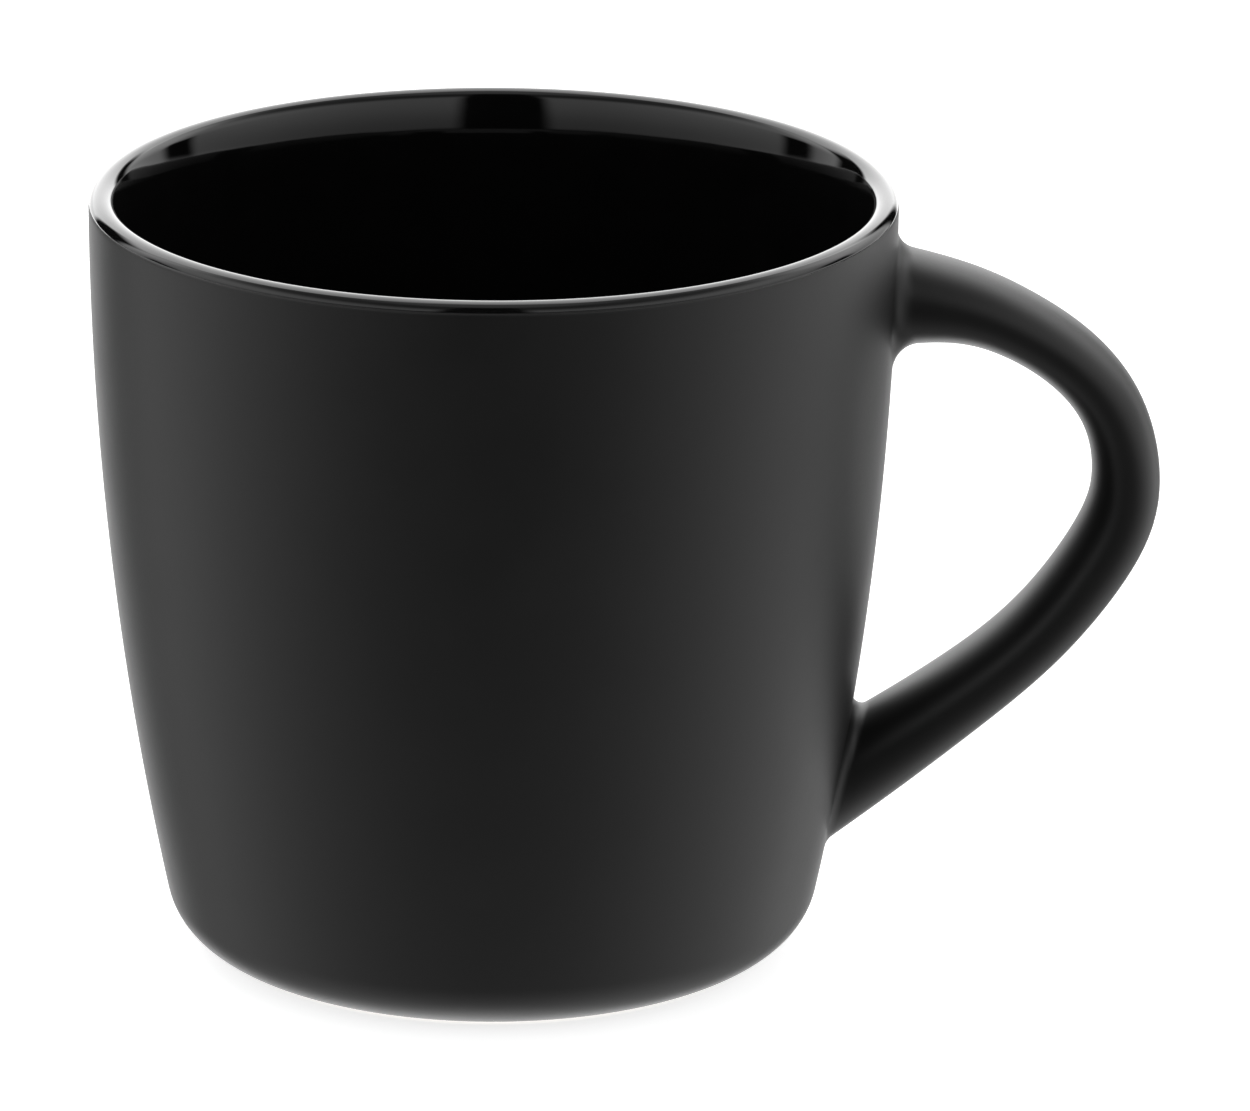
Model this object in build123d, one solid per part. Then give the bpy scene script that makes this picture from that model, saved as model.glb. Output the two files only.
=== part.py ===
from build123d import *
import os
from math import asin, atan2, cos, degrees, radians, sin, sqrt

# A stoneware mug, fired in one piece from a slip-cast cup and a separately cast handle, then glazed.
# The cup stands on its foot ring at z = 0, its axis is Z, and the handle points along +X.
# All sizes are in millimetres and are taken over the glaze unless a name says clay.

# cup
height = 85.0  # foot to rim
rim_radius = 44.0
rim_wall = 2.9  # wall at the rim, which is a full round
outside_bow = 388.0  # radius of the outside wall's long arc, upright at the rim
inside_bow = 310.0  # the inside wall's arc, which lets the wall thicken a little downwards
lip_lean = 22.0  # degrees off upright at which the inside leaves the lip
taper_bow = 15.0  # short arc that brings the inside from that lean to upright
heel_radius = 7.2  # round between the outside wall and the foot
cove_radius = 10.0  # round between the inside wall and the floor
floor_height = 6.0

# foot ring, bare clay where the mug stands
ring_outer = 29.2
ring_inner = 27.0
recess_radius = 25.8
recess_depth = 1.5
wipe_angle = -75.0  # the coat is wiped off the heel below this angle, from +X about the heel's centre

# glaze and slip
coat = 0.3  # thickness of each glaze
slip = 0.6  # thickness of the slip between the handle and the cup
gloss_line = 84.0  # height on the outside where the gloss over the rim meets the matt coat

# handle: stations of its centre line in the XZ plane with its thickness there, as (x, z, thickness),
# from the upper root round to the lower one; both end stations lie inside the cup
handle_stations = [
    (39.0, 73.6, 12.6),
    (49.3, 72.7, 8.9),
    (56.7, 70.3, 7.3),
    (63.3, 66.0, 7.0),
    (68.0, 59.8, 7.1),
    (69.5, 52.2, 7.5),
    (67.3, 44.7, 7.8),
    (60.5, 35.3, 7.7),
    (51.6, 27.4, 8.3),
    (42.0, 20.4, 9.7),
    (32.4, 13.9, 11.2),
]
handle_width = 12.6
upper_bead = 2.4  # round between the handle and the wall at the upper root
lower_bead = 1.2

# centres of the section's arcs, as (distance from the axis, height)
lip_radius = rim_wall / 2
lip_centre = (rim_radius - lip_radius, height - lip_radius)
outside_centre = (rim_radius - outside_bow, height - lip_radius)
lip_leave = 180 - lip_lean
taper_reach = taper_bow - lip_radius
taper_centre = (
    lip_centre[0] - taper_reach * cos(radians(lip_leave)),
    lip_centre[1] - taper_reach * sin(radians(lip_leave)),
)
inside_centre = (taper_centre[0] - taper_bow - inside_bow, taper_centre[1])


def tangent_centre(wall_centre, wall_bow, radius, centre_height):
    """Centre of the corner round of this radius that lies inside the wall's arc and touches it."""
    reach = sqrt((wall_bow - radius) ** 2 - (wall_centre[1] - centre_height) ** 2)
    return (wall_centre[0] + reach, centre_height)


def angle_between(start, end):
    return degrees(atan2(end[1] - start[1], end[0] - start[0]))


heel_centre = tangent_centre(outside_centre, outside_bow, heel_radius, heel_radius)
cove_centre = tangent_centre(inside_centre, inside_bow, cove_radius, floor_height + cove_radius)
heel_touch = angle_between(outside_centre, heel_centre)
cove_touch = angle_between(inside_centre, cove_centre)
gloss_angle = degrees(asin((gloss_line - lip_centre[1]) / lip_radius))


def at(distance, z):
    """A point of the section, which is drawn on the side away from the handle to keep seams off it."""
    return Vector(-distance, 0, z)


def on_arc(centre, radius, angle):
    return at(centre[0] + radius * cos(radians(angle)), centre[1] + radius * sin(radians(angle)))


def arc(centre, radius, start, end):
    middle = (start + end) / 2
    return ThreePointArc(*(on_arc(centre, radius, angle) for angle in (start, middle, end)))


def turned(edges, corners):
    """The solid of revolution of edges closed by straight lines through the corners."""
    points = [edges[-1] @ 1, *corners, edges[0] @ 0]
    lines = [Line(a, b) for a, b in zip(points, points[1:])]
    return revolve(Face(Wire([*edges, *lines])), Axis.Z)


def outside_edges(inset, from_angle, to_angle):
    """The outside from the heel over the wall on to the lip, moved in from the glaze by the inset."""
    return [
        arc(heel_centre, heel_radius - inset, from_angle, heel_touch),
        arc(outside_centre, outside_bow - inset, heel_touch, 0),
        arc(lip_centre, lip_radius - inset, 0, to_angle),
    ]


def inside_edges(inset):
    """The inside from the lip down the wall to the cup's axis, moved out from the glaze by the inset."""
    return [
        arc(taper_centre, taper_bow - inset, lip_leave, 180),
        arc(inside_centre, inside_bow + inset, 0, cove_touch),
        arc(cove_centre, cove_radius + inset, cove_touch, -90),
        Line(at(cove_centre[0], floor_height - inset), at(0, floor_height - inset)),
    ]


def cup_clay():
    edges = [*outside_edges(coat, wipe_angle, lip_leave), *inside_edges(coat)]
    ceiling = recess_depth + coat
    corners = [
        at(0, ceiling),
        at(recess_radius, ceiling),
        at(ring_inner, 0),
        at(ring_outer, 0),
    ]
    return turned(edges, corners)


def clay_core(inset):
    """The cup without its hollow, down to the foot ring."""
    edges = outside_edges(inset, wipe_angle, 90)
    top = height - inset
    return turned(edges, [at(0, top), at(0, 0), at(ring_outer, 0)])


def coat_core():
    """The cup without its hollow as far as the matt coat reaches on the heel and on the lip."""
    edges = outside_edges(0, wipe_angle, gloss_angle)
    upper = on_arc(lip_centre, lip_radius - coat, gloss_angle)
    lower = on_arc(heel_centre, heel_radius - coat, wipe_angle)
    return turned(edges, [upper, at(0, upper.Z), at(0, lower.Z), lower])


def liner():
    """The gloss glaze inside the cup and over the lip."""
    over_lip = arc(lip_centre, lip_radius, gloss_angle, lip_leave)
    under_lip = arc(lip_centre, lip_radius - coat, lip_leave, gloss_angle)
    surface = [over_lip, *inside_edges(0)]
    backing = [*reversed(inside_edges(coat)), under_lip]
    step = Line(surface[-1] @ 1, backing[0] @ 1)
    end = Line(under_lip @ 1, over_lip @ 0)
    return revolve(Face(Wire([*surface, step, *backing, end])), Axis.Z)


def handle_bar(inset):
    """The handle as an oval bar lofted through its stations, moved in from the glaze by the inset."""
    points = [Vector(x, 0, z) for x, z, thickness in handle_stations]
    path = Spline(*points)
    sections = []
    for point, (x, z, thickness) in zip(points, handle_stations):
        along = path % path.param_at_point(point)
        plane = Plane(point, x_dir=(0, 1, 0), z_dir=along)
        sections.append(plane * Ellipse(handle_width / 2 - inset, thickness / 2 - inset))
    return loft(sections)


def lowest_seam(solid):
    """The seam that the lower root of the handle makes on the wall."""
    return min(solid.edges().filter_by(GeomType.BSPLINE), key=lambda seam: seam.center().Z)


def highest_seam(solid):
    """The seam that the upper root of the handle makes on the wall."""
    return max(solid.edges().filter_by(GeomType.BSPLINE), key=lambda seam: seam.center().Z)


def joined(core, bar, inset):
    """The cup and the handle as one solid, with a round bead at each root."""
    solid = core + bar
    solid = fillet(highest_seam(solid), upper_bead + inset)
    return fillet(lowest_seam(solid), lower_bead + inset)


cup = cup_clay()
core = clay_core(coat)
fired_clay = joined(core, handle_bar(coat), coat)
around_slip = clay_core(coat - slip)
slips = fired_clay & around_slip - core
lower_slip, upper_slip = slips.solids().sort_by(Axis.Z)
recess_slab = Pos(0, 0, recess_depth + coat / 2) * Cylinder(ring_inner, coat)

nodes = {
    "cup_body": cup,
    "handle": fired_clay - around_slip,
    "upper_slip_joint": upper_slip,
    "lower_slip_joint": lower_slip,
    "inner_gloss_glaze": liner(),
    "outer_matt_glaze": joined(coat_core(), handle_bar(0), 0) - fired_clay,
    "base_recess_glaze": recess_slab - cup,
}

os.makedirs("parts", exist_ok=True)
for name, solid in nodes.items():
    export_step(solid, f"parts/{name}.step")
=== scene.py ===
from math import asin, atan2, cos, degrees, floor, hypot, radians, sin, sqrt, tau

import bmesh
import bpy
from mathutils import Euler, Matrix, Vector


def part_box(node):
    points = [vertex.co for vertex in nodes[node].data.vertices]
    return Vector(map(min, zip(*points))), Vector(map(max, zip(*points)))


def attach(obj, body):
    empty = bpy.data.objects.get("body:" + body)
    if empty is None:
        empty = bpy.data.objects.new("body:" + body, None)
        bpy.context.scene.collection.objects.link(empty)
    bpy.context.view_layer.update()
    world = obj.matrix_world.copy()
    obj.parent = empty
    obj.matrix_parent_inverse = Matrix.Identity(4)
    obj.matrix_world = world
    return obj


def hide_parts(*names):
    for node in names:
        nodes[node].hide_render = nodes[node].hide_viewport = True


# A stoneware mug: a slip-cast cup and a separately cast handle under a matt black coat, with a gloss
# black glaze inside and over the lip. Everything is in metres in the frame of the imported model.

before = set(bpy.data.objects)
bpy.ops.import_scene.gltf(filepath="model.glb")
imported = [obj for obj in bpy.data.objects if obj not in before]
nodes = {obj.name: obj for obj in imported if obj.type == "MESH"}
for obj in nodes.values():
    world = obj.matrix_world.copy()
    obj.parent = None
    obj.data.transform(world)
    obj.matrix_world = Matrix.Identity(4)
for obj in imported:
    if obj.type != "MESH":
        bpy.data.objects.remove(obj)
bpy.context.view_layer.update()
mm = 0.001

# ---------------------------------------------------------------- sizes

coat_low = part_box("outer_matt_glaze")[0]
liner_low, liner_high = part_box("inner_gloss_glaze")
recess_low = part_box("base_recess_glaze")[0]

# cup
height = liner_high.z
rim_radius = -coat_low.x
coat = 0.3 * mm  # thickness of each glaze
floor_height = liner_low.z + coat
lip_radius = 1.45 * mm
outside_bow = 388 * mm  # radius of the outside wall's long arc, upright at the rim
inside_bow = 310 * mm
taper_bow = 15 * mm  # short arc that brings the inside from the lip's lean to upright
lip_lean = 22  # degrees
heel_radius = 7.2 * mm
cove_radius = 10 * mm
gloss_line = 84 * mm  # height on the outside where the gloss over the lip meets the matt coat

# foot
ring_outer = 29.2 * mm
ring_inner = 27 * mm
ring_round = 0.3 * mm
recess_radius = 25.8 * mm
recess_depth = recess_low.z
recess_pool = 0.8 * mm  # round in which the recess's glaze meets the foot ring
wipe_angle = -75  # the coat is wiped off the heel below this angle

# stations of the handle's centre line as (distance from the axis, height, thickness), in millimetres,
# from the upper root round to the lower one
handle_stations = [
    (39.0, 73.6, 12.6),
    (49.3, 72.7, 8.9),
    (56.7, 70.3, 7.3),
    (63.3, 66.0, 7.0),
    (68.0, 59.8, 7.1),
    (69.5, 52.2, 7.5),
    (67.3, 44.7, 7.8),
    (60.5, 35.3, 7.7),
    (51.6, 27.4, 8.3),
    (42.0, 20.4, 9.7),
    (32.4, 13.9, 11.2),
]
handle_width = 12.6 * mm
handle_fullness = 2.25  # 2 is an oval section; more fills out its corners

# round of the bead between handle and wall, on the handle's outer side, its flanks and its inner side
upper_bead = (2.5 * mm, 2.5 * mm, 3.4 * mm)
lower_bead = (2.0 * mm, 1.8 * mm, 1.25 * mm)

# how finely the surfaces are divided
round_steps = 256
lip_steps = 26
taper_steps = 12
wall_steps = 56
cove_steps = 18
heel_steps = 18
floor_steps = 18
patch_columns = 20
patch_rows = 20
patch_margin = 1.3 * mm
bead_rows = 9
bar_rows = 92
root_reach = 1.6  # the bar goes through the wall within this many stations of each end
halvings = 40  # steps in which the place where the bar meets the wall is closed in on
short_way = 0.02  # along the bar, in stations, for finding which way it runs
settling = 60  # rounds in which the handle's smooth line settles on its stations
same = 1e-6  # lengths nearer than this are the same

# ---------------------------------------------------------------- the cup's section

lip_centre = (rim_radius - lip_radius, height - lip_radius)
outside_centre = (rim_radius - outside_bow, lip_centre[1])
lip_leave = 180 - lip_lean
taper_reach = taper_bow - lip_radius
taper_centre = (
    lip_centre[0] - taper_reach * cos(radians(lip_leave)),
    lip_centre[1] - taper_reach * sin(radians(lip_leave)),
)
inside_centre = (taper_centre[0] - taper_bow - inside_bow, taper_centre[1])


def tangent_centre(wall_centre, wall_bow, radius, centre_height):
    """Centre of the corner round of this radius that lies inside the wall's arc and touches it."""
    reach = sqrt((wall_bow - radius) ** 2 - (wall_centre[1] - centre_height) ** 2)
    return (wall_centre[0] + reach, centre_height)


def angle_between(start, end):
    return degrees(atan2(end[1] - start[1], end[0] - start[0]))


heel_centre = tangent_centre(outside_centre, outside_bow, heel_radius, heel_radius)
cove_centre = tangent_centre(inside_centre, inside_bow, cove_radius, floor_height + cove_radius)
heel_touch = angle_between(outside_centre, heel_centre)
cove_touch = angle_between(inside_centre, cove_centre)
gloss_angle = degrees(asin((gloss_line - lip_centre[1]) / lip_radius))


def on_arc(centre, radius, angle):
    return (centre[0] + radius * cos(radians(angle)), centre[1] + radius * sin(radians(angle)))


def arc(centre, radius, start, end, steps):
    """Points along an arc of the section, as (distance from the axis, height)."""
    return [on_arc(centre, radius, start + (end - start) * i / steps) for i in range(steps + 1)]


def spaced(start, end, steps):
    """Even steps from start up to, but without, the end."""
    return [start + (end - start) * i / steps for i in range(steps)]


def wall_radius(z):
    """Radius of the cup's outside at a height on its long arc."""
    return outside_centre[0] + sqrt(outside_bow**2 - (z - outside_centre[1]) ** 2)


def gloss_edge(turn):
    """Angle on the lip where the gloss stops; the brushed edge wanders a little round the rim."""
    wander = 2.6 * sin(2 * turn + 0.4) + 1.7 * sin(5 * turn + 2.1) + 0.9 * sin(11 * turn + 4.0)
    return gloss_angle + wander * 0.8


def inside_points(inset):
    """The inside from the lip down to the axis, moved out from the glaze by the inset."""
    taper = arc(taper_centre, taper_bow - inset, lip_leave, 180, taper_steps)
    wall = arc(inside_centre, inside_bow + inset, 0, cove_touch, wall_steps)
    cove = arc(cove_centre, cove_radius + inset, cove_touch, -90, cove_steps)
    base = [(r, floor_height - inset) for r in spaced(cove_centre[0], 0, floor_steps)]
    return [*taper, *wall[1:], *cove[1:], *base[1:], (0, floor_height - inset)]


# ---------------------------------------------------------------- mesh helpers


def spin_outline(bm, points):
    """Turns an outline, given as (distance from the axis, height), all the way round the axis."""
    verts = [bm.verts.new((-r, 0, z)) for r, z in points]
    edges = [bm.edges.new(pair) for pair in zip(verts, verts[1:])]
    bmesh.ops.spin(
        bm,
        geom=[*verts, *edges],
        cent=(0, 0, 0),
        axis=(0, 0, 1),
        angle=tau,
        steps=round_steps,
        use_merge=True,
    )
    bmesh.ops.remove_doubles(bm, verts=bm.verts[:], dist=same / 10)


def face_outward(bm):
    """Turns every face outward, judged by the face that lies furthest out on the handle's side."""
    bmesh.ops.recalc_face_normals(bm, faces=bm.faces[:])
    bm.faces.ensure_lookup_table()
    outer = max(bm.faces, key=lambda face: face.calc_center_median().x)
    if outer.normal.x < 0:
        bmesh.ops.reverse_faces(bm, faces=bm.faces[:])


def piece(name, bm, slot, material, *stands_for):
    """Makes a mesh a piece of the mug."""
    mesh = bpy.data.meshes.new(name)
    bm.to_mesh(mesh)
    bm.free()
    mesh.shade_smooth()
    mesh.materials.append(material)
    made = bpy.data.objects.new(name, mesh)
    bpy.context.scene.collection.objects.link(made)
    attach(made, "root")
    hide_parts(*stands_for)
    return made


def turn_of(co):
    return atan2(co.y, co.x)


def set_on_lip(verts, radius):
    """Moves the verts of the gloss's edge on to its wandering line."""
    for vert in verts:
        turn = turn_of(vert.co)
        r, z = on_arc(lip_centre, radius, gloss_edge(turn))
        vert.co = Vector((r * cos(turn), r * sin(turn), z))


# ---------------------------------------------------------------- the handle's surface


class SmoothLine:
    """An even cubic spline through the handle's stations, each (distance, height, thickness)."""

    def __init__(self, stations):
        points = [Vector(station) * mm for station in stations]
        controls = [point.copy() for point in points]
        for _ in range(settling):
            for i in range(1, len(points) - 1):
                controls[i] = (6 * points[i] - controls[i - 1] - controls[i + 1]) / 4
        before = 2 * controls[0] - controls[1]
        after = 2 * controls[-1] - controls[-2]
        self.controls = [before, *controls, after]
        self.spans = len(points) - 1

    def at(self, t):
        span = min(max(floor(t), 0), self.spans - 1)
        u = t - span
        weights = (
            (1 - u) ** 3,
            3 * u**3 - 6 * u**2 + 4,
            -3 * u**3 + 3 * u**2 + 3 * u + 1,
            u**3,
        )
        return sum((self.controls[span + i] * w for i, w in enumerate(weights)), Vector()) / 6

    def section_point(self, t, around):
        """Point of the handle's surface at t along it and at the angle around, 90 on its outer side."""
        here = self.at(t)
        step = 0.01
        ahead = self.at(t + step) - self.at(t - step)
        along = Vector((ahead.x, 0, ahead.y)).normalized()
        outward = Vector((-along.z, 0, along.x))
        power = 2 / handle_fullness
        across = abs(cos(around)) ** power * (1 if cos(around) > 0 else -1)
        up = abs(sin(around)) ** power * (1 if sin(around) > 0 else -1)
        flank = Vector((0, across * handle_width / 2, 0))
        return Vector((here.x, 0, here.y)) + outward * (up * here.z / 2) + flank


bar = SmoothLine(handle_stations)


def meets_wall(around, inner, outer):
    """Where along the bar its line at this angle goes through the wall, between two places on it."""
    for _ in range(halvings):
        middle = (inner + outer) / 2
        point = bar.section_point(middle, around)
        if hypot(point.x, point.y) < wall_radius(point.z):
            inner = middle
        else:
            outer = middle
    return (inner + outer) / 2


def on_wall(u, z):
    """Point of the wall at a distance u round it from the handle's plane, at a height."""
    radius = wall_radius(z)
    return Vector((radius * cos(u / radius), radius * sin(u / radius), z))


class Root:
    """One root of the handle: its seam on the wall and the round bead over the seam."""

    def __init__(self, inner, outer, bead, count):
        self.angles = [tau * i / count for i in range(count)]
        self.inward = 1 if inner > outer else -1
        self.seam_t = [meets_wall(around, inner, outer) for around in self.angles]
        self.seam = [bar.section_point(t, a) for t, a in zip(self.seam_t, self.angles)]
        self.feet = []
        self.weights = []
        self.tops_t = []
        flat = [(wall_radius(p.z) * turn_of(p), p.z) for p in self.seam]
        middle_z = sum(z for _, z in flat) / count
        for i, around in enumerate(self.angles):
            before, after = flat[i - 1], flat[(i + 1) % count]
            away = Vector((after[1] - before[1], before[0] - after[0])).normalized()
            if away.x * flat[i][0] + away.y * (flat[i][1] - middle_z) < 0:
                away = -away
            self.add_bead(i, around, flat[i], away, bead)

    def add_bead(self, i, around, seam, away, bead):
        """Works out where the bead leaves the wall and where it reaches the bar."""
        outer_round, flank_round, inner_round = bead
        lift = sin(around)
        end_round = outer_round if lift > 0 else inner_round
        radius = flank_round + (end_round - flank_round) * lift**2
        probe = 0.2 * mm
        corner = self.seam[i]
        to_wall = on_wall(seam[0] + away.x * probe, seam[1] + away.y * probe) - corner
        ahead = bar.section_point(self.seam_t[i] - self.inward * short_way, around) - corner
        corner_angle = to_wall.angle(ahead)
        reach = radius / max(sin(corner_angle / 2) / cos(corner_angle / 2), 0.2)
        self.feet.append(on_wall(seam[0] + away.x * reach, seam[1] + away.y * reach))
        self.weights.append(sin(corner_angle / 2))
        self.tops_t.append(self.seam_t[i] - self.inward * short_way * reach / ahead.length)

    def bead_point(self, i, share):
        """Point of the bead from its foot on the wall, at 0, to the bar, at 1."""
        top = bar.section_point(self.tops_t[i], self.angles[i])
        a = (1 - share) ** 2
        b = 2 * share * (1 - share) * self.weights[i]
        c = share**2
        return (self.feet[i] * a + self.seam[i] * b + top * c) / (a + b + c)

    def extent(self):
        """Lowest and highest place of the bead's foot, with a margin."""
        heights = [foot.z for foot in self.feet]
        return min(heights) - patch_margin, max(heights) + patch_margin


loop_count = 2 * (patch_columns + patch_rows)
upper_root = Root(0, root_reach, upper_bead, loop_count)
lower_root = Root(bar.spans, bar.spans - root_reach, lower_bead, loop_count)


def handle_point(i, row):
    """Point of the handle's surface, from the upper bead's foot over the bar to the lower bead's."""
    last = 2 * bead_rows + bar_rows
    if row <= bead_rows:
        return upper_root.bead_point(i, row / bead_rows)
    if row >= last - bead_rows:
        return lower_root.bead_point(i, (last - row) / bead_rows)
    share = (row - bead_rows) / bar_rows
    t = upper_root.tops_t[i] * (1 - share) + lower_root.tops_t[i] * share
    return bar.section_point(t, upper_root.angles[i])


# ---------------------------------------------------------------- pieces


def bend_into_handle(bm):
    """Bends a flat grid into the handle, open at both roots."""
    rows = 2 * bead_rows + bar_rows
    grid = bmesh.ops.create_grid(bm, x_segments=loop_count, y_segments=rows, size=1)
    for vert in grid["verts"]:
        column = round((vert.co.x + 1) / 2 * loop_count) % loop_count
        row = round((vert.co.y + 1) / 2 * rows)
        vert.co = handle_point(column, row)
    bmesh.ops.remove_doubles(bm, verts=bm.verts[:], dist=same / 10)


def coat_outline():
    """The outside from the wiped foot to the gloss, with a row of faces for each row of a root's patch."""
    upper_low, upper_high = upper_root.extent()
    lower_low, lower_high = lower_root.extent()
    heel = arc(heel_centre, heel_radius, wipe_angle, heel_touch, heel_steps)
    heights = [
        *spaced(heel[-1][1], lower_low, 4),
        *spaced(lower_low, lower_high, patch_rows),
        *spaced(lower_high, upper_low, 30),
        *spaced(upper_low, upper_high, patch_rows),
        *spaced(upper_high, lip_centre[1], 3),
    ]
    wall = [(wall_radius(z), z) for z in heights[1:]]
    return [*heel, *wall, *arc(lip_centre, lip_radius, 0, gloss_angle, 2)]


def join_root(bm, root, handle_faces, handle_rims):
    """Opens a patch of the wall round a root and joins its border to the rim of the handle."""
    low, high = root.extent()
    half_turn = patch_columns / 2 * tau / round_steps
    patch = set()
    for face in bm.faces:
        centre = face.calc_center_median()
        if face not in handle_faces and low < centre.z < high and abs(turn_of(centre)) < half_turn:
            patch.add(face)
    edges = {edge for face in patch for edge in face.edges}
    border = [edge for edge in edges if len(patch.intersection(edge.link_faces)) == 1]
    bmesh.ops.delete(bm, geom=list(patch), context="FACES")
    rim = [edge for edge in handle_rims if low < edge.verts[0].co.z < high]
    joined = bmesh.ops.bridge_loops(bm, edges=[*border, *rim])
    divided = bmesh.ops.subdivide_edges(bm, edges=joined["edges"], cuts=3)
    for vert in divided["geom_inner"]:
        if isinstance(vert, bmesh.types.BMVert):
            turn = turn_of(vert.co)
            radius = wall_radius(vert.co.z)
            vert.co = Vector((radius * cos(turn), radius * sin(turn), vert.co.z))


def make_matt_coat(material):
    """The coat over the outside and the handle, one skin from the wiped foot to the gloss."""
    bm = bmesh.new()
    bend_into_handle(bm)
    handle_faces = set(bm.faces)
    handle_rims = [edge for edge in bm.edges if edge.is_boundary]
    spin_outline(bm, coat_outline())
    for root in (upper_root, lower_root):
        join_root(bm, root, handle_faces, handle_rims)
    set_on_lip([vert for vert in bm.verts if abs(vert.co.z - gloss_line) < same], lip_radius)
    face_outward(bm)
    made = piece("matt_coat", bm, "matt_black_glaze", material, "outer_matt_glaze")
    skin = made.modifiers.new("thickness", "SOLIDIFY")
    skin.thickness = coat
    skin.offset = -1
    return made


def make_gloss_liner(material):
    """The gloss glaze inside the cup and over the lip."""
    bm = bmesh.new()
    over_lip = arc(lip_centre, lip_radius, gloss_angle, lip_leave, lip_steps)
    under_lip = arc(lip_centre, lip_radius - coat, lip_leave, gloss_angle, lip_steps)
    backing = inside_points(coat)[::-1]
    spin_outline(bm, [*over_lip, *inside_points(0)[1:], *backing, *under_lip[1:], over_lip[0]])
    edges = [(over_lip[0], lip_radius), (under_lip[-1], lip_radius - coat)]
    for (r, z), radius in edges:
        ring = [v for v in bm.verts if hypot(v.co.z - z, hypot(v.co.x, v.co.y) - r) < same]
        set_on_lip(ring, radius)
    face_outward(bm)
    return piece("gloss_liner", bm, "gloss_black_glaze", material, "inner_gloss_glaze")


def make_clay_cup(material):
    """The fired clay under the glazes, bare on its foot ring."""
    bm = bmesh.new()
    ceiling = recess_depth + coat
    heel = arc(heel_centre, heel_radius - coat, wipe_angle, heel_touch, 14)
    wall = arc(outside_centre, outside_bow - coat, heel_touch, 0, 60)
    lip = arc(lip_centre, lip_radius - coat, 0, lip_leave, 18)
    recess = [(r, ceiling) for r in spaced(0, recess_radius, 12)]
    foot = [(recess_radius, ceiling), (ring_inner, 0), (ring_outer, 0)]
    spin_outline(bm, [*recess, *foot, *heel, *wall[1:], *lip[1:], *inside_points(coat)[1:]])
    face_outward(bm)
    corners = [edge for edge in bm.edges if all(vert.co.z < same for vert in edge.verts)]
    rings = [edge for edge in corners if abs(edge.verts[0].co.length - edge.verts[1].co.length) < same]
    bmesh.ops.bevel(
        bm,
        geom=rings,
        offset=ring_round,
        offset_type="OFFSET",
        segments=3,
        profile=0.5,
        affect="EDGES",
        material=-1,
    )
    return piece("clay_cup", bm, "fired_clay", material, "cup_body")


def make_recess_glaze(material):
    """The glaze in the recess under the cup, drawn down a little where it meets the foot ring."""
    bm = bmesh.new()
    ceiling = recess_depth + coat
    slope = atan2(ring_inner - recess_radius, ceiling)
    pool_z = recess_depth - recess_pool
    reach = (recess_pool - (ceiling - pool_z) * sin(slope)) / cos(slope)
    pool_centre = (recess_radius - reach, pool_z)
    meniscus = arc(pool_centre, recess_pool, 90, degrees(slope), 8)
    face = [(r, recess_depth) for r in spaced(0, pool_centre[0], 14)]
    back = [(r, ceiling) for r in spaced(recess_radius, 0, 14)]
    spin_outline(bm, [*face, *meniscus, *back, (0, ceiling)])
    face_outward(bm)
    return piece("recess_glaze_disc", bm, "recess_glaze", material, "base_recess_glaze")


# ---------------------------------------------------------------- finishes


class Value:
    """A socket of a finish that takes part in Python sums."""

    def __init__(self, maker, socket):
        self.maker = maker
        self.socket = socket

    def maths(self, operation, *terms):
        return self.maker.node("Math", {"operation": operation}, dict(enumerate(terms)))

    def __add__(self, other):
        return self.maths("ADD", self, other)

    def __radd__(self, other):
        return self.maths("ADD", other, self)

    def __sub__(self, other):
        return self.maths("SUBTRACT", self, other)

    def __rsub__(self, other):
        return self.maths("SUBTRACT", other, self)

    def __mul__(self, other):
        return self.maths("MULTIPLY", self, other)

    def __rmul__(self, other):
        return self.maths("MULTIPLY", other, self)


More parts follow.
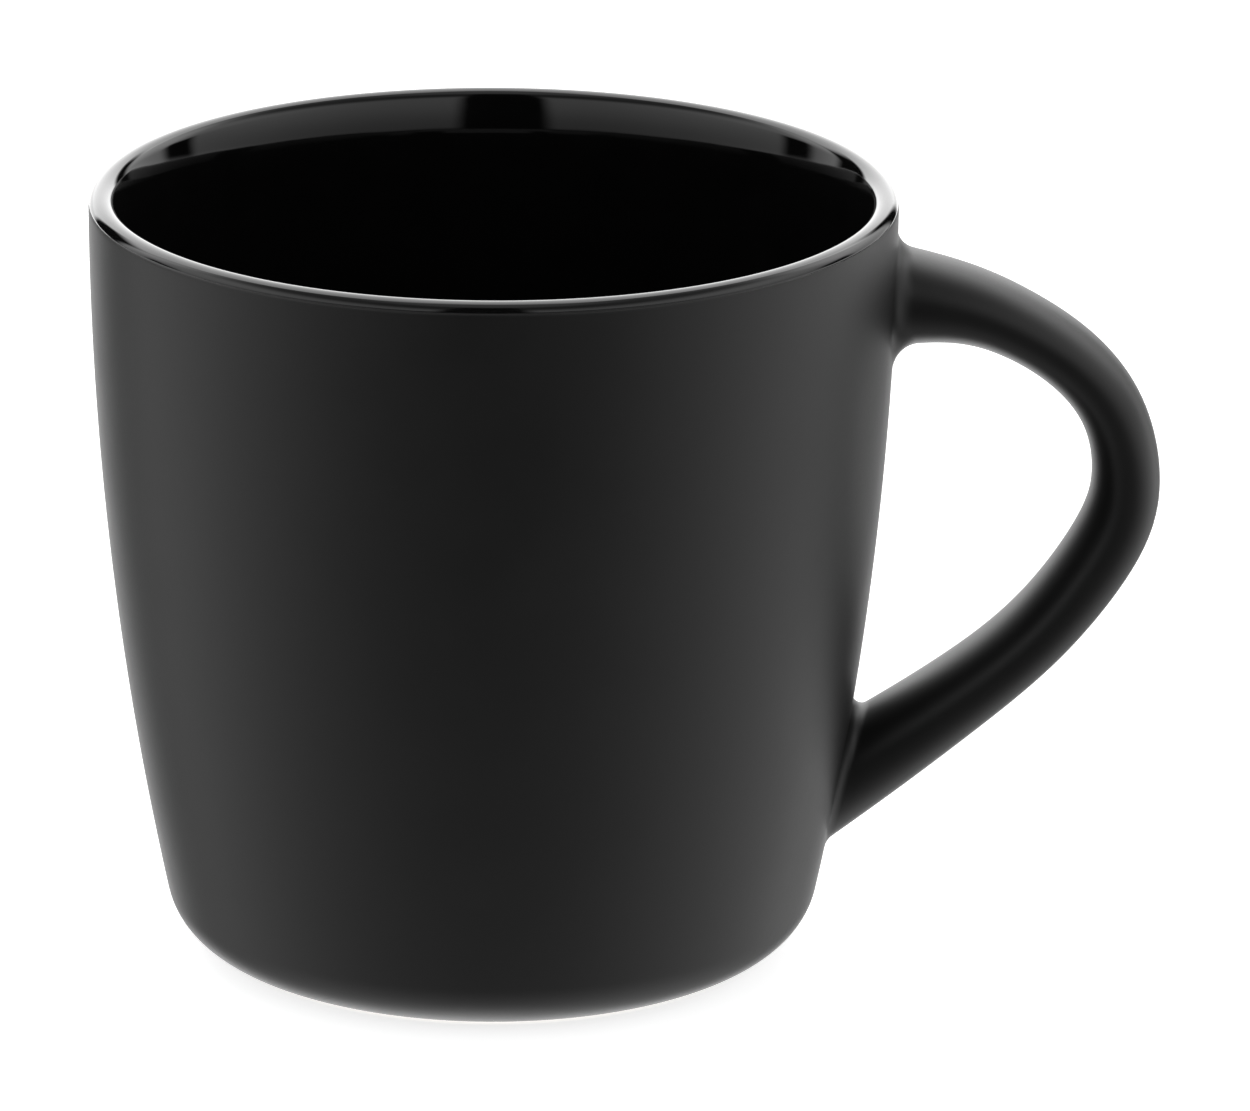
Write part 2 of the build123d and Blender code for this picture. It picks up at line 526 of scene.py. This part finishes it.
class Maker:
    """Builds the nodes of a material or of the studio's world."""

    def __init__(self, tree):
        self.tree = tree
        tree.nodes.clear()

    def node(self, kind, settings=None, values=None, output=0):
        """Adds a node, sets it up, then gives its sockets their values or links."""
        made = self.tree.nodes.new("ShaderNode" + kind)
        for key, setting in (settings or {}).items():
            setattr(made, key, setting)
        for key, value in (values or {}).items():
            if isinstance(value, Value):
                self.tree.links.new(value.socket, made.inputs[key])
            else:
                made.inputs[key].default_value = value
        return Value(self, made.outputs[output])

    def ramp(self, value, start, end):
        """0 at the start, 1 at the end and smooth between them."""
        values = {"Value": value, "From Min": start, "From Max": end}
        return self.node("MapRange", {"interpolation_type": "SMOOTHSTEP"}, values)

    def window(self, value, start, end, soft):
        """1 between the start and the end, with edges this soft."""
        opening = self.ramp(value, start - soft, start + soft)
        return opening * (1 - self.ramp(value, end - soft, end + soft))

    def place(self):
        """The place on the mug, in metres."""
        return self.node("TexCoord", output="Object")

    def noise(self, here, size, detail=2.0, roughness=0.5):
        """Noise from 0 to 1 whose lumps are about this size."""
        values = {"Vector": here, "Scale": 1 / size, "Detail": detail, "Roughness": roughness}
        return self.node("TexNoise", values=values)

    def specks(self, here, spacing, size, share):
        """1 on small round specks: one in each cell of this spacing, in this share of the cells."""
        values = {"Vector": here, "Scale": 1 / spacing}
        settings = {"feature": "F1", "distance": "EUCLIDEAN"}
        near = self.node("TexVoronoi", settings, values, "Distance")
        chance = self.node("TexVoronoi", settings, values, "Color")
        red = self.node("SeparateColor", values={0: chance})
        spot = 1 - self.ramp(near, 0.3 * size / spacing, 0.5 * size / spacing)
        return spot * self.ramp(red, 1 - share, 1 - share * 0.9)

    def blend(self, share, low, high):
        """A colour between two, by share."""
        settings = {"data_type": "RGBA"}
        return self.node("Mix", settings, {0: share, 6: low, 7: high}, 2)

    def bump(self, height, depth):
        """Normals of a relief this deep where the height goes from 0 to 1."""
        return self.node("Bump", values={"Height": height, "Distance": depth, "Strength": 1.0})

    def finish(self, colour, roughness, normal):
        """Ends a material with a glaze's or a clay's way of shining."""
        values = {"Base Color": colour, "Roughness": roughness, "Normal": normal, "IOR": 1.5}
        self.node_out("OutputMaterial", self.node("BsdfPrincipled", values=values))

    def node_out(self, kind, shader):
        made = self.tree.nodes.new("ShaderNode" + kind)
        self.tree.links.new(shader.socket, made.inputs["Surface"])


def new_material(name):
    material = bpy.data.materials.new(name)
    material.use_nodes = True
    return material, Maker(material.node_tree)


def grey(level, warmth=0.0):
    """A grey, or with warmth a little redder and less blue."""
    return (level * (1 + warmth), level, level * (1 - warmth), 1)


def matt_black():
    """Satin black coat: a fine grain, slow mottling and a little kiln dust."""
    material, maker = new_material("matt_black_coat")
    here = maker.place()
    mottle = maker.noise(here, 9 * mm, 3.0)
    grain = maker.noise(here, 0.28 * mm, 2.0, 0.6)
    peel = maker.noise(here, 1.6 * mm, 1.0)
    dust = maker.specks(here, 5 * mm, 0.32 * mm, 0.16)
    pits = maker.specks(here, 2.3 * mm, 0.3 * mm, 0.2)
    base = maker.blend(mottle, grey(0.0015), grey(0.003, 0.02))
    colour = maker.blend(dust * 0.8, base, grey(0.16, 0.05))
    roughness = 0.41 + 0.05 * mottle + 0.05 * grain - 0.04 * pits
    relief = grain * 0.55 + peel * 0.9 - pits * 0.8 + dust * 1.2
    maker.finish(colour, roughness, maker.bump(relief, 0.006 * mm))
    return material


def gloss_black():
    """Glassy black glaze with a slightly wavy surface, pinholes and a few specks."""
    material, maker = new_material("gloss_black_glaze")
    here = maker.place()
    wave = maker.noise(here, 11 * mm, 1.0)
    ripple = maker.noise(here, 2.4 * mm, 1.0)
    haze = maker.noise(here, 5 * mm, 3.0)
    pinholes = maker.specks(here, 6 * mm, 0.26 * mm, 0.1)
    base = maker.blend(haze, grey(0.0022), grey(0.0045))
    colour = maker.blend(pinholes * 0.6, base, grey(0.06))
    roughness = 0.045 + 0.03 * haze + 0.2 * pinholes
    relief = wave * 6.0 + ripple * 0.35 - pinholes * 1.5
    maker.finish(colour, roughness, maker.bump(relief, 0.008 * mm))
    return material


def bare_clay():
    """Fired buff stoneware: sandy grain, iron specks and open pores."""
    material, maker = new_material("bare_stoneware")
    here = maker.place()
    cloud = maker.noise(here, 7 * mm, 4.0)
    sand = maker.noise(here, 0.5 * mm, 3.0, 0.65)
    iron = maker.specks(here, 1.7 * mm, 0.4 * mm, 0.22)
    pores = maker.specks(here, 1.1 * mm, 0.26 * mm, 0.3)
    buff = maker.blend(cloud * 0.6 + sand * 0.4, grey(0.36, 0.17), grey(0.55, 0.13))
    spotted = maker.blend(iron * 0.75, buff, grey(0.09, 0.35))
    colour = maker.blend(pores * 0.6, spotted, grey(0.16, 0.2))
    roughness = 0.78 + 0.14 * sand
    maker.finish(colour, roughness, maker.bump(sand - pores * 1.4, 0.05 * mm))
    return material


def slip_clay():
    """Dried and fired slip between handle and cup, finer and a little browner than the body."""
    material, maker = new_material("fired_slip")
    here = maker.place()
    cloud = maker.noise(here, 3 * mm, 3.0)
    silk = maker.noise(here, 0.25 * mm, 2.0)
    colour = maker.blend(cloud, grey(0.32, 0.2), grey(0.46, 0.16))
    maker.finish(colour, 0.72 + 0.1 * silk, maker.bump(silk, 0.02 * mm))
    return material


def recess_black():
    """The coat in the recess, a little thinner and rougher, with pinholes where the kiln shelf was near."""
    material, maker = new_material("recess_black_coat")
    here = maker.place()
    mottle = maker.noise(here, 6 * mm, 3.0)
    grain = maker.noise(here, 0.35 * mm, 2.0, 0.6)
    pinholes = maker.specks(here, 2.6 * mm, 0.35 * mm, 0.25)
    colour = maker.blend(mottle, grey(0.007), grey(0.014, 0.06))
    roughness = 0.44 + 0.08 * mottle + 0.05 * grain
    maker.finish(colour, roughness, maker.bump(grain - pinholes * 1.5, 0.008 * mm))
    return material


# ---------------------------------------------------------------- studio


def make_floor():
    """A plain pale floor, wide enough to fill every view."""
    bm = bmesh.new()
    bmesh.ops.create_circle(bm, cap_ends=True, segments=96, radius=6)
    mesh = bpy.data.meshes.new("floor")
    bm.to_mesh(mesh)
    bm.free()
    floor_piece = bpy.data.objects.new("floor", mesh)
    bpy.context.scene.collection.objects.link(floor_piece)
    material, maker = new_material("pale_floor")
    values = {
        "Base Color": grey(0.8),
        "Roughness": 0.9,
        "Emission Color": grey(1.0),
        "Emission Strength": 0.75,
    }
    maker.node_out("OutputMaterial", maker.node("BsdfPrincipled", values=values))
    mesh.materials.append(material)
    floor_piece.visible_glossy = False


def tent_side(maker, turn, panel, seam, back, high_back):
    """Shares of light on one side of the tent: its panel, the dark seam in it, and the back low and high."""
    soft = 3
    return (
        maker.window(turn, *panel, soft),
        maker.window(turn, *seam, soft),
        maker.ramp(turn, *back),
        maker.ramp(turn, *high_back),
    )


def make_studio_light():
    """A white tent round the mug: a bright panel each side, dark gaps between, and white all behind."""
    world = bpy.data.worlds.new("studio")
    world.use_nodes = True
    bpy.context.scene.world = world
    maker = Maker(world.node_tree)
    way = maker.node("TexCoord", output="Generated")
    axes = maker.node("SeparateXYZ", values={0: way})
    x, y, z = (Value(maker, axes.socket.node.outputs[i]) for i in range(3))

    # the way round from the front, positive to the right, and the way up, all in degrees
    side = maker.node("Math", {"operation": "ARCTAN2"}, {0: x, 1: 0 - y}) * degrees(1)
    up = maker.node("Math", {"operation": "ARCSINE"}, {0: z}) * degrees(1)
    down = 0 - up
    off_front = maker.node("Math", {"operation": "ABSOLUTE"}, {0: side})
    right = tent_side(maker, side, (11, 147), (106, 120), (155, 161), (142, 148))
    left = tent_side(maker, 0 - side, (17, 129), (101, 114), (147, 152), (127, 133))
    panels, seams, back_low, back_high = (a + b for a, b in zip(right, left))

    # above the horizon the panels brighten upward and sideways, then fade towards the roof
    above = maker.ramp(up, 0, 5)
    seams = seams * above * (1 - maker.ramp(up, 14, 22))
    tall = (0.45 + 0.5 * maker.ramp(up, 4, 30)) * (1 - 0.8 * maker.ramp(up, 34, 58))
    high = tall * (1 + 0.5 * maker.ramp(off_front, 25, 95) + 1.0 * maker.ramp(off_front, 108, 125))

    # below it they are dark in front, brighten sideways and fade downward, the left one a little dimmer
    low = 1.3 * maker.ramp(off_front, 14, 110) * (1 - 0.62 * maker.ramp(down, 18, 42))
    low = low * (1 - 0.16 * maker.ramp(0 - side, 0, 10))

    back = back_low + (back_high - back_low) * maker.ramp(up, 20, 32)
    walls = panels * (1 - seams) * (low + (high - low) * above) + back * (2.2 + 0.8 * above)
    roof = maker.ramp(up, 66, 80)
    table = 0.55 * maker.ramp(down, 12, 70)
    light = walls * (1 - roof) + 0.6 * roof + table
    maker.node_out("OutputWorld", maker.node("Background", values={"Color": grey(1.0), "Strength": light}))


def make_camera():
    """A long lens from the front, 18 degrees above level."""
    data = bpy.data.cameras.new("camera")
    data.sensor_width = 36
    data.lens = 245.6
    camera = bpy.data.objects.new("camera", data)
    bpy.context.scene.collection.objects.link(camera)
    tilt = radians(90 - 18.215)
    pan = radians(-0.933)
    roll = radians(0.437)
    camera.rotation_mode = "QUATERNION"
    aim = Euler((tilt, 0, pan)).to_quaternion()
    camera.rotation_quaternion = aim @ Euler((0, 0, roll)).to_quaternion()
    camera.location = (0, -0.892246, 0.336871)
    data.clip_start = 0.05
    data.clip_end = 50
    bpy.context.scene.camera = camera


make_camera()
make_studio_light()
make_floor()

clay = bare_clay()
make_clay_cup(clay)
make_matt_coat(matt_black())
make_gloss_liner(gloss_black())
make_recess_glaze(recess_black())

slip = slip_clay()
cad_finishes = {"handle": clay, "upper_slip_joint": slip, "lower_slip_joint": slip}
for name, material in cad_finishes.items():
    nodes[name].data.materials.clear()
    nodes[name].data.materials.append(material)

bpy.context.scene.view_settings.view_transform = "Standard"
